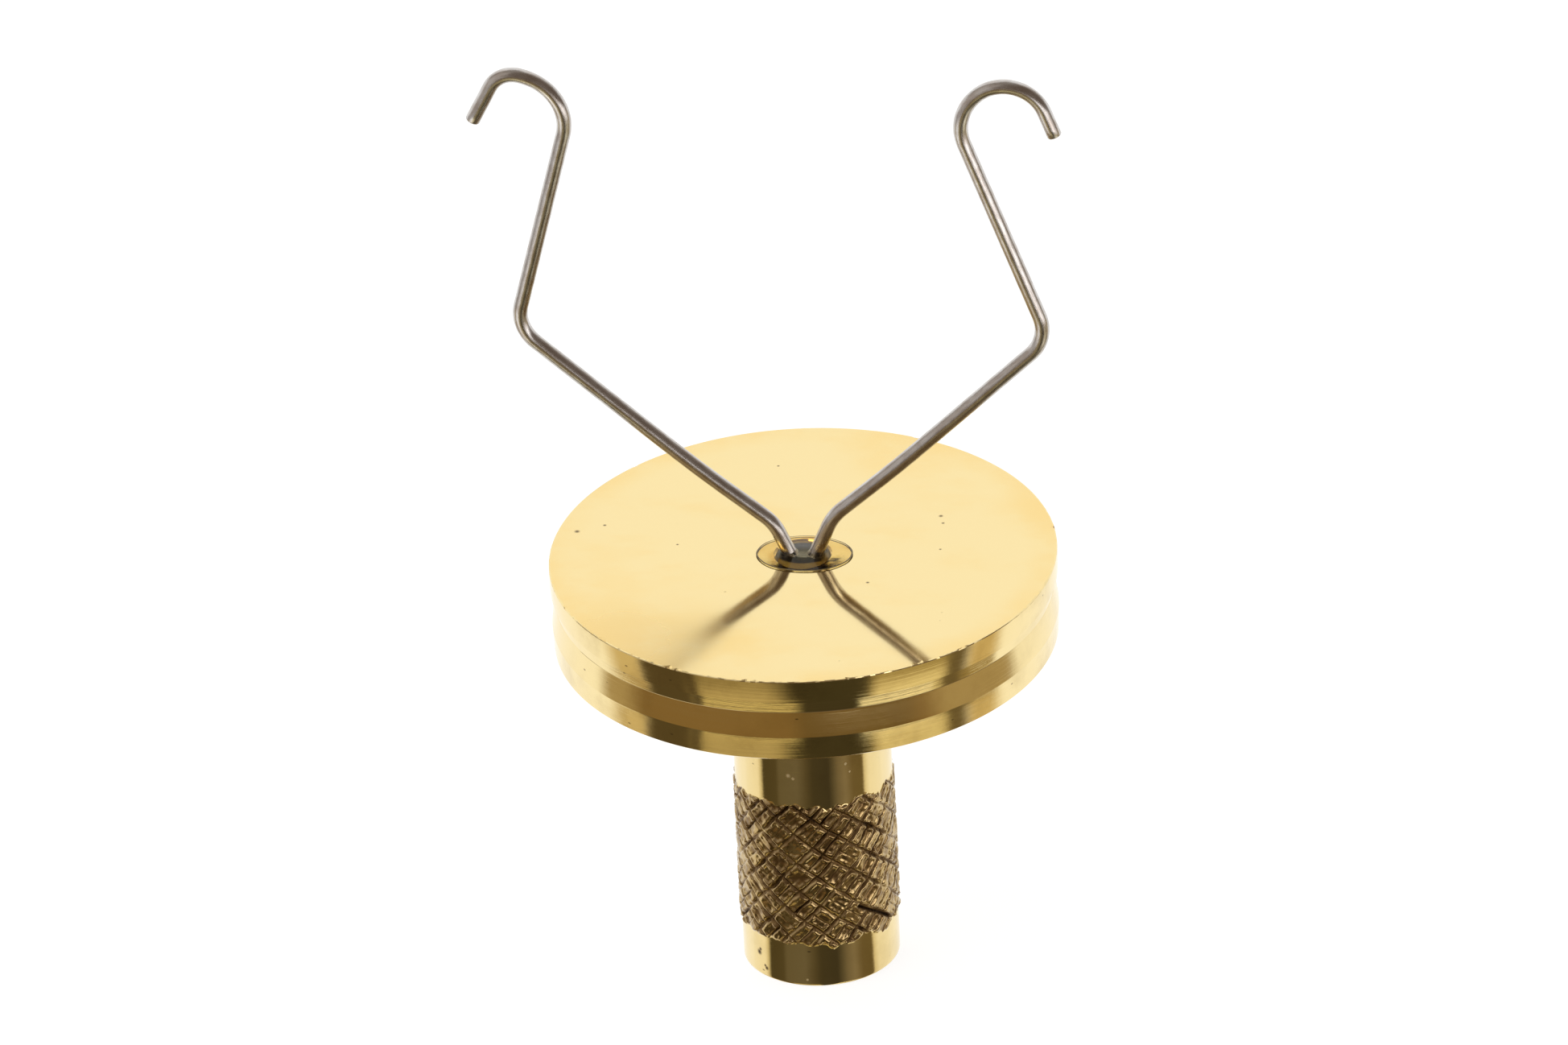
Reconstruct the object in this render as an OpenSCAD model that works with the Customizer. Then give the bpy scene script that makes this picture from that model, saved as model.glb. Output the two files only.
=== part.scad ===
// Finger-spun thread twister: a brass flywheel on a knurled stem, with two sprung wire hooks that
// hold a loop of thread open while the flywheel spins it.
// The origin is the centre of the stem's flat foot. +Z is up and the two hooks lie in the XZ plane.

/* [Flywheel] */
// Diameter of the flywheel
wheel_d = 25.4; // [20:0.1:32]
// Thickness of the flywheel
wheel_t = 4.5; // [4.3:0.1:8]
// Height of the plain lip above the rim's groove
top_lip_h = 1.2; // [0.6:0.1:1.4]
// Height of the plain lip below the rim's groove
bottom_lip_h = 1.3; // [0.6:0.1:1.5]
// Depth of the groove turned into the rim
groove_depth = 0.25; // [0.1:0.05:0.6]

/* [Stem] */
// Diameter of the stem's plain neck, just under the flywheel
neck_d = 7.9; // [7:0.1:9]
// Length of the stem below the flywheel
stem_h = 18.2; // [15:0.1:26]
// Diameter over the crests of the knurled band
knurl_d = 8.1; // [8:0.05:9.4]
// Height of the knurled band
knurl_h = 7.9; // [4:0.1:9]
// Diameter of the plain foot
foot_d = 7.84; // [7:0.02:8]
// Height of the plain foot
foot_h = 2.4; // [1:0.1:4]
// Diameter of the spigot that is pressed into the flywheel
spigot_d = 6; // [4.4:0.1:6.6]
// Length of the spigot
spigot_h = 3; // [2:0.1:3.4]

/* [Wires] */
// Diameter of the spring wire
wire_d = 0.75; // [0.6:0.05:0.8]
// Diameter of the hole that both wires are glued into
hole_d = 2.66; // [2.5:0.02:3.2]
// Depth of that hole below the flywheel's top face
hole_depth = 6.2; // [5.8:0.1:9]
// Width of the bead of glue, along Y
bead_w = 3.7; // [3.2:0.1:4.4]
// Length of the bead of glue, along X
bead_l = 4.86; // [4.5:0.02:5.6]
// Height of the bead of glue
bead_h = 0.55; // [0.3:0.05:0.55]

/* [Hooks] */
// Distance of the left elbow from the axis
left_elbow_x = 13.88; // [12.8:0.01:14.4]
// Height of the left elbow above the flywheel
left_elbow_z = 12.65; // [12:0.01:13.6]
// Distance of the left hook's tip from the axis
left_tip_x = 15.53; // [15.2:0.01:15.8]
// Height of the left hook's tip above the flywheel
left_tip_z = 24.35; // [23.4:0.01:24.6]
// Distance of the right elbow from the axis
right_elbow_x = 12.9; // [12.2:0.01:13.6]
// Height of the right elbow above the flywheel
right_elbow_z = 12.82; // [12.2:0.01:13.6]
// Distance of the right hook's tip from the axis
right_tip_x = 13.65; // [13.3:0.01:14]
// Height of the right hook's tip above the flywheel
right_tip_z = 24.4; // [23.4:0.01:24.8]

/* [Hidden] */
$fn = 64;

brass = "#d8b968";
steel = "#8d887f";
glue = "#b7995a";

wheel_top = stem_h + wheel_t;
edge_break = 0.12;           // chamfer on every turned edge
foot_chamfer = 0.1;
groove_land_h = 0.65;        // upright part of the rim's groove, under the top lip
groove_step = 0.08;          // slope of the ledges at both ends of the groove
knurl_bevel = 0.2;
drill_tip = 0.4;             // height of the cone that the drill leaves

pivot = [1.05, 1];           // where each wire starts to flex, just above the bead
leg_lap = 0.03;              // a wire's straight legs run this far into its bends
leg_draw = 0.004;            // and are this much thinner, so that no faces coincide
seat_gap = 0.05;             // running clearance between a wire's root and its moving arm
heel_l = 0.6 * wire_d;        // length left below the flex point before the heel is rounded
root_x = 0.43;               // the upright stretch of each root, beside the axis
root_knee = [root_x, -0.44];
root_knee_r = 1.2;
root_bottom = [root_x, 0.5 - hole_depth];
elbow_r = 2.1;
bow_r = 60;

// Corners of each wire: distance from the axis, and height above the flywheel.
left_root = [1.35, 1.75];    // where the wire leans out of its root
left_bow = [5, 4.72];        // slight bow in its lower leg
left_elbow = [left_elbow_x, left_elbow_z];
left_shoulder = [10.3, 26.4];
left_crown = [14.1, 27.2];
left_tip = [left_tip_x, left_tip_z];
right_root = [1.6, 2.25];
right_bow = [5, 5.26];
right_elbow = [right_elbow_x, right_elbow_z];
right_shoulder = [8.5, 25.5];
right_crown = [12.2, 28.5];
right_tip = [right_tip_x, right_tip_z];

// Unit vector along v, its heading, and the signed turn from one heading to the next.
function unit(v) = v / norm(v);
function heading(v) = atan2(v[1], v[0]);
function wrap(a) = a > 180 ? a - 360 : (a < -180 ? a + 360 : a);
function turn(p, i) = wrap(heading(p[i + 1] - p[i]) - heading(p[i] - p[i - 1]));
// Length that a rounded corner takes from each of its two legs.
function corner_cut(p, r, i) = (i == 0 || i == len(p) - 1) ? 0 : r[i] * tan(abs(turn(p, i)) / 2);
// How far a leg runs into the bend at corner i, so that the two are one solid.
function lap(p, i) = (i == 0 || i == len(p) - 1) ? 0 : leg_lap;

// A round wire along the corners p in the XZ plane, with bend radius r[i] at corner i.
module wire(p, r) {
    rotate([90, 0, 0]) {
        for (i = [0 : len(p) - 2]) {
            along = unit(p[i + 1] - p[i]);
            from = p[i] + along * (corner_cut(p, r, i) - lap(p, i));
            to = p[i + 1] - along * (corner_cut(p, r, i + 1) - lap(p, i + 1));
            translate([from[0], from[1], 0])
                rotate([0, 0, heading(along)])
                    rotate([0, 90, 0])
                        cylinder(h = norm(to - from), d = wire_d - leg_draw);
        }
        for (i = [1 : len(p) - 2]) {
            along = unit(p[i] - p[i - 1]);
            side = sign(turn(p, i));
            centre = p[i] - along * corner_cut(p, r, i) + side * r[i] * [-along[1], along[0]];
            translate([centre[0], centre[1], 0])
                rotate([0, 0, heading(along) - side * 90])
                    rotate_extrude(angle = turn(p, i))
                        translate([r[i], 0])
                            circle(d = wire_d);
        }
    }
}

// Round bar across the wire at the flex point.
module flex_bar(d, l) {
    translate([pivot[0], 0, pivot[1]])
        rotate([90, 0, 0])
            cylinder(h = l, d = d, center = true);
}

// The fixed end of a wire, down in the glue, with a hollow end that the moving arm rocks in.
module wire_root() {
    difference() {
        wire([root_bottom, root_knee, pivot], [0, root_knee_r, 0]);
        flex_bar(wire_d + 2 * seat_gap, 2 * wire_d);
    }
}

// What is cut off the lower end of a moving wire that leans at the angle lean, to leave a round heel.
module heel_waste(lean) {
    difference() {
        translate([pivot[0], 0, pivot[1]])
            rotate([0, 90 - lean, 0])
                translate([-wire_d, -wire_d, -wire_d])
                    cube([2 * wire_d, 2 * wire_d, wire_d]);
        flex_bar(wire_d, 4 * wire_d);
    }
}

// The moving part of a wire, from a round heel on the flex point to the tip of its hook.
module arm(corners, radii) {
    lean = unit(corners[0] - pivot);
    difference() {
        wire(concat([pivot - lean * heel_l], corners), concat([0], radii, [0]));
        heel_waste(heading(lean));
    }
}

// Moves a shape drawn above the wheel's top face to its place, on the +X or the -X side.
module on_side(side) {
    translate([0, 0, wheel_top])
        mirror([side < 0 ? 1 : 0, 0, 0])
            children();
}

module flywheel() {
    r = wheel_d / 2;
    groove_top = wheel_top - top_lip_h;
    groove_bottom = stem_h + bottom_lip_h;
    color(brass)
        rotate_extrude($fn = 128)
            polygon([
                [spigot_d / 2, stem_h],
                [r - edge_break, stem_h],
                [r, stem_h + edge_break],
                [r, groove_bottom - groove_step],
                [r - groove_step, groove_bottom],
                [r - groove_depth, groove_top - groove_land_h],
                [r - groove_depth, groove_top - groove_step],
                [r, groove_top],
                [r, wheel_top - edge_break],
                [r - edge_break, wheel_top],
                [hole_d / 2, wheel_top],
                [hole_d / 2, stem_h + spigot_h],
                [spigot_d / 2, stem_h + spigot_h]
            ]);
}

module handle() {
    knurl_top = foot_h + knurl_h;
    hole_floor = wheel_top - hole_depth;
    color(brass)
        rotate_extrude($fn = 96)
            polygon([
                [0, 0],
                [foot_d / 2 - foot_chamfer, 0],
                [foot_d / 2, foot_chamfer],
                [foot_d / 2, foot_h],
                [knurl_d / 2, foot_h + knurl_bevel],
                [knurl_d / 2, knurl_top - knurl_bevel],
                [neck_d / 2, knurl_top],
                [neck_d / 2, stem_h],
                [spigot_d / 2, stem_h],
                [spigot_d / 2, stem_h + spigot_h],
                [hole_d / 2, stem_h + spigot_h],
                [hole_d / 2, hole_floor],
                [0, hole_floor - drill_tip]
            ]);
}

// The glue: it fills the hole around both wires and stands up as a low oval bead.
module adhesive() {
    half_w = bead_w / 2;
    end_x = (bead_l - bead_w) / 2;
    dome_r = (half_w * half_w + bead_h * bead_h) / (2 * bead_h);
    color(glue)
        difference() {
            union() {
                translate([0, 0, wheel_top - hole_depth])
                    cylinder(h = hole_depth, d = hole_d);
                translate([0, 0, wheel_top - hole_depth - drill_tip])
                    cylinder(h = drill_tip, r1 = 0, r2 = hole_d / 2);
                intersection() {
                    translate([-bead_l, -bead_w, wheel_top])
                        cube([2 * bead_l, 2 * bead_w, bead_h]);
                    translate([0, 0, wheel_top + bead_h - dome_r]) {
                        for (side = [-1, 1])
                            translate([side * end_x, 0, 0])
                                sphere(r = dome_r);
                        rotate([0, 90, 0])
                            cylinder(h = 2 * end_x, r = dome_r, center = true);
                    }
                }
            }
            for (side = [-1, 1])
                on_side(side)
                    wire([root_bottom, root_knee, pivot], [0, root_knee_r, 0]);
        }
}

module left_wire_root() {
    color(steel)
        on_side(-1)
            wire_root();
}

module right_wire_root() {
    color(steel)
        on_side(1)
            wire_root();
}

module left_arm() {
    color(steel)
        on_side(-1)
            arm(
                [left_root, left_bow, left_elbow, left_shoulder, left_crown, left_tip],
                [2.5, bow_r, elbow_r, 2.7, 1.3]
            );
}

module right_arm() {
    color(steel)
        on_side(1)
            arm(
                [right_root, right_bow, right_elbow, right_shoulder, right_crown, right_tip],
                [3, bow_r, elbow_r, 2.6, 2.05]
            );
}

flywheel();
handle();
adhesive();
left_wire_root();
right_wire_root();
left_arm();
right_arm();
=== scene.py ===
"""Looks for a dubbing twister: a brass flywheel on a knurled stem, with two sprung wire hooks.

Everything is in metres in the CAD frame: the stem's foot is at the origin, +Z is up and the
hooks lie in the XZ plane. Sizes in millimetres are multiplied by MM where they are used.
"""
import math

import bmesh
import bpy
from mathutils import Matrix, Vector, noise


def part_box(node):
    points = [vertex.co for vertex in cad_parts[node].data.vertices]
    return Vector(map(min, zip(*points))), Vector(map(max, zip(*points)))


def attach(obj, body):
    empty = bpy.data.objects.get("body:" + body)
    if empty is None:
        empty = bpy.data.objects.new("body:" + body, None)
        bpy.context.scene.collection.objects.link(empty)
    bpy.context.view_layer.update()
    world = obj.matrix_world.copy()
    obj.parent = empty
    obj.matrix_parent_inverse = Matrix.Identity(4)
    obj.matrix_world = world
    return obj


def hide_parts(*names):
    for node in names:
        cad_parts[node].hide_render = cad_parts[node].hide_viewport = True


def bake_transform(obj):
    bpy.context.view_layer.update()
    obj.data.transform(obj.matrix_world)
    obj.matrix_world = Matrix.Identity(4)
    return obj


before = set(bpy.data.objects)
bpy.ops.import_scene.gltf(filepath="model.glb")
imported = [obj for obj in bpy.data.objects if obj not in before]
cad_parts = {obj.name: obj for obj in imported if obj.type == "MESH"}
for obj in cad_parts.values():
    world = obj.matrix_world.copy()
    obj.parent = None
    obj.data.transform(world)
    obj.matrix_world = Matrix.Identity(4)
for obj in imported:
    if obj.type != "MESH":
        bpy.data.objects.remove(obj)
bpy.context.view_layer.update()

MM = 0.001

# ---------------------------------------------------------------- sizes taken from the frame
wheel_low, wheel_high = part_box("flywheel")
stem_low, stem_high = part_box("handle")
WHEEL_R = wheel_high.x
WHEEL_TOP = wheel_high.z
WHEEL_BOTTOM = wheel_low.z
KNURL_R = stem_high.x

# ---------------------------------------------------------------- camera
CAMERA_AZIMUTH = 9.0         # degrees, to the right of the view along +Y
CAMERA_ELEVATION = 29.9
CAMERA_ROLL = 2.83           # the tool leans this much to the left in the picture
CAMERA_DISTANCE = 2.2
FRAME_WIDTH = 0.0782         # width of the picture at the tool
AIM_RIGHT = -0.944 * MM      # from the centre of the flywheel's top to the picture's centre
AIM_UP = 1.586 * MM


def make_camera():
    """A long lens, so the view is nearly parallel, rolled as the tool leans."""
    azimuth = math.radians(CAMERA_AZIMUTH)
    elevation = math.radians(CAMERA_ELEVATION)
    back = Vector((
        math.sin(azimuth) * math.cos(elevation),
        -math.cos(azimuth) * math.cos(elevation),
        math.sin(elevation),
    ))
    turn = (-back).to_track_quat("-Z", "Y").to_matrix()
    turn = turn @ Matrix.Rotation(math.radians(-CAMERA_ROLL), 3, "Z")
    right, up = turn.col[0], turn.col[1]
    data = bpy.data.cameras.new("camera")
    data.sensor_width = 36.0
    data.lens = data.sensor_width * CAMERA_DISTANCE / FRAME_WIDTH
    data.clip_start = 0.1
    data.clip_end = 10.0
    camera = bpy.data.objects.new("camera", data)
    bpy.context.scene.collection.objects.link(camera)
    aim = Vector((0, 0, WHEEL_TOP)) + right * AIM_RIGHT + up * AIM_UP
    camera.matrix_world = Matrix.Translation(aim + back * CAMERA_DISTANCE) @ turn.to_4x4()
    bpy.context.scene.camera = camera


# ---------------------------------------------------------------- node helpers
def make_material(name):
    """A new material with only a Principled shader and an output. Returns it and its tree."""
    material = bpy.data.materials.new(name)
    material.use_nodes = True
    tree = material.node_tree
    tree.nodes.clear()
    shader = tree.nodes.new("ShaderNodeBsdfPrincipled")
    output = tree.nodes.new("ShaderNodeOutputMaterial")
    tree.links.new(shader.outputs["BSDF"], output.inputs["Surface"])
    return material, tree, shader


def add(tree, kind, settings=None, **inputs):
    """Adds a node. settings are its attributes, and inputs its values or sockets by name or i0, i1."""
    made = tree.nodes.new(kind)
    for key, value in (settings or {}).items():
        setattr(made, key, value)
    for key, value in inputs.items():
        socket = made.inputs[int(key[1:]) if key[0] == "i" and key[1:].isdigit() else key]
        if isinstance(value, bpy.types.NodeSocket):
            tree.links.new(value, socket)
        else:
            socket.default_value = value
    return made


def math_node(tree, operation, a, b=0.0):
    """One Math node's output."""
    return add(tree, "ShaderNodeMath", {"operation": operation}, i0=a, i1=b).outputs[0]


def multiply_add(tree, value, factor, plus):
    """value times factor, plus a number."""
    return add(tree, "ShaderNodeMath", {"operation": "MULTIPLY_ADD"}, i0=value, i1=factor, i2=plus).outputs[0]


def mix_colour(tree, factor, a, b):
    """One colour Mix node's output: a where factor is 0, b where it is 1."""
    return add(tree, "ShaderNodeMix", {"data_type": "RGBA"}, i0=factor, i6=a, i7=b).outputs[2]


def tint(tree, colour, mask, share, stain):
    """colour turned towards stain where mask is 1, by share, which is a number or a socket."""
    return mix_colour(tree, math_node(tree, "MULTIPLY", mask, share), colour, stain)


def map_range(tree, value, low, high, to_low=0.0, to_high=1.0, smooth=True):
    """value taken from low..high to to_low..to_high, and held there outside."""
    made = add(tree, "ShaderNodeMapRange", {"interpolation_type": "SMOOTHSTEP" if smooth else "LINEAR"})
    tree.links.new(value, made.inputs["Value"])
    made.inputs["From Min"].default_value = low
    made.inputs["From Max"].default_value = high
    made.inputs["To Min"].default_value = to_low
    made.inputs["To Max"].default_value = to_high
    return made.outputs["Result"]


def noise_node(tree, vector, scale, detail=3.0, roughness=0.5):
    """A noise texture's value."""
    made = add(tree, "ShaderNodeTexNoise", Vector=vector, Scale=scale, Detail=detail)
    made.inputs["Roughness"].default_value = roughness
    return made.outputs[0]


def stretched(tree, vector, scale):
    """vector with each axis scaled."""
    return add(tree, "ShaderNodeMapping", Vector=vector, Scale=scale).outputs[0]


def bump(tree, height, distance, normal=None):
    """A bump node's normal. distance is the height in metres that a value of 1 stands for."""
    made = add(tree, "ShaderNodeBump", Height=height, Distance=distance, Strength=1.0)
    if normal is not None:
        tree.links.new(normal, made.inputs["Normal"])
    return made.outputs[0]


def object_coordinates(tree):
    """Object coordinates, which are the CAD frame's, in metres."""
    return add(tree, "ShaderNodeTexCoord").outputs["Object"]


def from_axis(tree, coordinates, scale=(1, 1, 0)):
    """Distance from the tool's axis in metres, after each axis is scaled."""
    flat = stretched(tree, coordinates, scale)
    return add(tree, "ShaderNodeVectorMath", {"operation": "LENGTH"}, i0=flat).outputs["Value"]


def seen_at(degrees):
    """Angle about Z of a place so many degrees to the right of the camera's side."""
    return math.radians(degrees + CAMERA_AZIMUTH - 90)


def on_top(x, y):
    """A place on the flywheel's top face, from x and y in millimetres."""
    return Vector((x * MM, y * MM, WHEEL_TOP))


def rgb(r, g, b):
    """A colour with full alpha."""
    return (r, g, b, 1.0)


BRASS = rgb(0.90, 0.725, 0.372)
BRASS_TINT = rgb(0.90, 0.66, 0.27)
BRASS_DULL = rgb(0.50, 0.36, 0.155)
BRONZE = rgb(0.235, 0.145, 0.062)
UMBER = rgb(0.06, 0.034, 0.016)
STEEL = rgb(0.66, 0.64, 0.635)
STEEL_BROWN = rgb(0.52, 0.47, 0.44)


def near_point(tree, coordinates, point, radius):
    """1 close to a point, falling smoothly to 0 at radius."""
    offset = add(tree, "ShaderNodeVectorMath", {"operation": "DISTANCE"}, i0=coordinates, i1=point)
    return map_range(tree, offset.outputs["Value"], radius, radius * 0.1)


def specks(tree, coordinates, scale, size):
    """Scattered dots: 1 in a dot, 0 outside."""
    made = add(tree, "ShaderNodeTexVoronoi", Vector=coordinates, Scale=scale)
    chance = add(tree, "ShaderNodeSeparateColor", Color=made.outputs["Color"]).outputs[0]
    dot = map_range(tree, made.outputs["Distance"], size, size * 0.5)
    return math_node(tree, "MULTIPLY", dot, map_range(tree, chance, 0.80, 0.84))


# Marks on the flywheel's top face, each with its x, y and radius in millimetres.
HAZE_AND_PAINTED_SHADE = (-8.0, -8.8, 7.5)                                            # dulled by handling, and tinted yellower as painted shade where the left hook's reflection fades
TARNISH = ((-3.0, -9.0, 4.5), (3.5, 10.5, 4.0), (11.0, 5.0, 3.0))   # yellower patches
PITS = (
    (-11.6, 1.6, 0.20), (-10.3, 2.3, 0.13), (6.4, 4.2, 0.16), (6.6, 3.5, 0.12),
    (-6.4, 0.6, 0.10), (3.6, -2.6, 0.13), (-2.4, 8.7, 0.10), (6.8, 0.9, 0.10),
)


def polished_brass():
    """The flywheel's top face: a mirror with faint stains, pits and a hazy patch, whose yellower tint is
    painted shade.
    """
    material, tree, shader = make_material("polished_brass")
    where = object_coordinates(tree)
    stains = map_range(tree, noise_node(tree, stretched(tree, where, (1, 1.8, 1)), 160, 4, 0.6), 0.46, 0.74)
    colour = tint(tree, BRASS, stains, 0.45, BRASS_TINT)
    uneven = map_range(tree, noise_node(tree, where, 330, 4, 0.6), 0.3, 0.65, 0.15, 0.75)
    for x, y, radius in TARNISH:
        patch = near_point(tree, where, on_top(x, y), radius * MM)
        colour = tint(tree, colour, patch, uneven, BRASS_TINT)
    edge = map_range(tree, from_axis(tree, where), 0.86 * WHEEL_R, WHEEL_R)
    colour = tint(tree, colour, edge, uneven, BRASS_TINT)
    colour = tint(tree, colour, specks(tree, where, 900, 0.07), 0.55, BRASS_DULL)
    for x, y, radius in PITS:
        pit = near_point(tree, where, on_top(x, y), radius * MM)
        colour = tint(tree, colour, pit, 0.85, UMBER)
    # painted shade: the hazy patch is tinted yellower where the left hook's blurred reflection fades; its
    # extra roughness is real haze
    haze_and_shade = near_point(tree, where, on_top(*HAZE_AND_PAINTED_SHADE[:2]), HAZE_AND_PAINTED_SHADE[2] * MM)
    colour = tint(tree, colour, haze_and_shade, uneven, BRASS_TINT)
    tree.links.new(colour, shader.inputs["Base Color"])
    rough = multiply_add(tree, haze_and_shade, 0.24, 0.045)
    fine = math_node(tree, "MULTIPLY", noise_node(tree, where, 900, 3), 0.05)
    tree.links.new(math_node(tree, "ADD", rough, fine), shader.inputs["Roughness"])
    shader.inputs["Metallic"].default_value = 1.0
    ripple = noise_node(tree, where, 240, 2)
    tree.links.new(bump(tree, ripple, 0.0016 * MM), shader.inputs["Normal"])
    return material


def turned_brass(name, colour, roughness, streak=0.35):
    """Lathe-turned brass: dull blotches, dark specks and fine grooves that run round the axis."""
    material, tree, shader = make_material(name)
    where = object_coordinates(tree)
    rings = stretched(tree, where, (0.05, 0.05, 9.0))
    lines = noise_node(tree, rings, 900, 4, 0.65)
    blotches = noise_node(tree, where, 420, 4, 0.6)
    shade = tint(tree, colour, map_range(tree, blotches, 0.42, 0.75), streak, BRASS_DULL)
    marks = specks(tree, stretched(tree, where, (1, 1, 2.2)), 800, 0.10)
    shade = tint(tree, shade, marks, 0.6, UMBER)
    tree.links.new(shade, shader.inputs["Base Color"])
    tree.links.new(multiply_add(tree, lines, 0.12, roughness - 0.06), shader.inputs["Roughness"])
    shader.inputs["Metallic"].default_value = 1.0
    soft = bump(tree, blotches, 0.006 * MM)
    tree.links.new(bump(tree, lines, 0.003 * MM, normal=soft), shader.inputs["Normal"])
    return material


# Marks on the stem: degrees to the right of the camera's side, then height and radius in millimetres.
STEM_PITS = ((-53.3, 1.25, 0.24), (-52.0, 1.45, 0.14), (-46.0, 0.5, 0.17), (-47.5, 0.62, 0.12))
# Small scuffs whose near-white colour is a painted highlight, standing in for glints.
STEM_SCUFF_GLINTS = (
    (-19.0, 12.15, 0.17), (-15.5, 12.0, 0.13), (24.0, 12.6, 0.11), (27.0, 12.1, 0.08), (-12.0, 0.35, 0.10),
)
STEM_MARK_R = 3.93           # the marks' distance from the axis, in millimetres
SCUFF_GLINT_COLOUR = rgb(1.0, 0.93, 0.72)
SCUFF_GLINT_ROUGHNESS = 0.9


def stem_mark(tree, where, mark):
    """1 in the middle of a mark on the stem, 0 outside it."""
    degrees, height, radius = mark
    angle = seen_at(degrees)
    spot = Vector((STEM_MARK_R * math.cos(angle), STEM_MARK_R * math.sin(angle), height)) * MM
    return near_point(tree, where, spot, radius * MM)


def stem_brass():
    """The stem's plain parts: turned brass with a few dark pits and rough scuffs painted near white as
    painted highlights.
    """
    material = turned_brass("neck_brass", rgb(0.86, 0.69, 0.36), 0.09, streak=0.25)
    tree = material.node_tree
    shader = next(node for node in tree.nodes if node.type == "BSDF_PRINCIPLED")
    where = object_coordinates(tree)
    colour = shader.inputs["Base Color"].links[0].from_socket
    for mark in STEM_PITS:
        colour = mix_colour(tree, stem_mark(tree, where, mark), colour, UMBER)
    scuff_glints = 0.0
    for mark in STEM_SCUFF_GLINTS:
        # painted highlight: each scuff is mixed to near white and made rough
        scuff_glint = stem_mark(tree, where, mark)
        colour = mix_colour(tree, scuff_glint, colour, SCUFF_GLINT_COLOUR)
        scuff_glints = math_node(tree, "MAXIMUM", scuff_glint, scuff_glints)
    tree.links.new(colour, shader.inputs["Base Color"])
    plain = shader.inputs["Roughness"].links[0].from_socket
    rough = math_node(tree, "ADD", plain, math_node(tree, "MULTIPLY", scuff_glints, SCUFF_GLINT_ROUGHNESS))
    tree.links.new(rough, shader.inputs["Roughness"])
    return material


def knurled_brass():
    """The knurled band: bright crests, brown patina down in the grooves."""
    material, tree, shader = make_material("knurled_brass")
    where = object_coordinates(tree)
    depth = add(tree, "ShaderNodeAttribute", {"attribute_name": "recess"}).outputs["Fac"]
    grime = noise_node(tree, where, 1500, 4, 0.65)
    deep = math_node(tree, "ADD", depth, multiply_add(tree, grime, 0.7, -0.35))
    soiled = map_range(tree, grime, 0.4, 0.7)
    crest = mix_colour(tree, soiled, rgb(0.56, 0.41, 0.20), rgb(0.30, 0.195, 0.09))
    shade = mix_colour(tree, map_range(tree, deep, 0.12, 0.55), crest, BRONZE)
    shade = mix_colour(tree, map_range(tree, deep, 0.6, 1.05), shade, UMBER)
    tree.links.new(shade, shader.inputs["Base Color"])
    tree.links.new(map_range(tree, deep, 0.0, 0.9, 0.17, 0.5), shader.inputs["Roughness"])
    shader.inputs["Metallic"].default_value = 1.0
    tree.links.new(bump(tree, grime, 0.02 * MM), shader.inputs["Normal"])
    return material


def drawn_wire():
    """Satin spring wire: brown-grey, with die marks along its length."""
    material, tree, shader = make_material("drawn_wire")
    along = add(tree, "ShaderNodeUVMap", {"uv_map": "wire_uv"}).outputs[0]
    marks = noise_node(tree, stretched(tree, along, (0.35, 26.0, 1.0)), 3.0, 4, 0.6)
    patches = noise_node(tree, stretched(tree, along, (0.6, 3.0, 1.0)), 2.2, 3, 0.55)
    shade = mix_colour(tree, map_range(tree, patches, 0.35, 0.7), STEEL, STEEL_BROWN)
    shade = mix_colour(tree, map_range(tree, marks, 0.52, 0.75, 0, 0.5), shade, rgb(0.22, 0.17, 0.135))
    tree.links.new(shade, shader.inputs["Base Color"])
    tree.links.new(map_range(tree, marks, 0.3, 0.8, 0.2, 0.36), shader.inputs["Roughness"])
    shader.inputs["Metallic"].default_value = 1.0
    tree.links.new(bump(tree, marks, 0.004 * MM), shader.inputs["Normal"])
    return material


def clear_glue():
    """Clear glue, a little yellow, with a faint ripple."""
    material, tree, shader = make_material("clear_glue")
    where = object_coordinates(tree)
    cloud = noise_node(tree, where, 900, 3)
    yellow = map_range(tree, cloud, 0.4, 0.75)
    shade = mix_colour(tree, yellow, rgb(0.93, 0.86, 0.62), rgb(0.82, 0.68, 0.36))
    tree.links.new(shade, shader.inputs["Base Color"])
    tree.links.new(map_range(tree, cloud, 0.3, 0.8, 0.02, 0.08), shader.inputs["Roughness"])
    shader.inputs["Transmission Weight"].default_value = 1.0
    shader.inputs["IOR"].default_value = 1.36
    shader.inputs["Specular IOR Level"].default_value = 0.1
    shader.inputs["Specular Tint"].default_value = rgb(0.35, 0.28, 0.18)
    tree.links.new(bump(tree, noise_node(tree, where, 1300, 2), 0.012 * MM), shader.inputs["Normal"])
    return material


def glue_edge_painted_shade():
    """The bead's thin edge, painted dark brown as painted shade where the clear glue's edge looks dark."""
    material, tree, shader = make_material("glue_edge_painted_shade")
    where = object_coordinates(tree)
    cloud = noise_node(tree, where, 1100, 3)
    shade_variation = map_range(tree, cloud, 0.35, 0.7)
    shade = mix_colour(tree, shade_variation, rgb(0.13, 0.085, 0.018), rgb(0.25, 0.175, 0.05))
    tree.links.new(shade, shader.inputs["Base Color"])
    tree.links.new(map_range(tree, cloud, 0.3, 0.8, 0.25, 0.5), shader.inputs["Roughness"])
    tree.links.new(bump(tree, cloud, 0.02 * MM), shader.inputs["Normal"])
    return material


AMBER = (1.45, -0.2, 0.75)                # where light comes through the glue: x, y, radius in mm
THIN_GLUE = (1.22 * MM, 1.42 * MM)        # the pale ring round the hole begins and is full here


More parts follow.
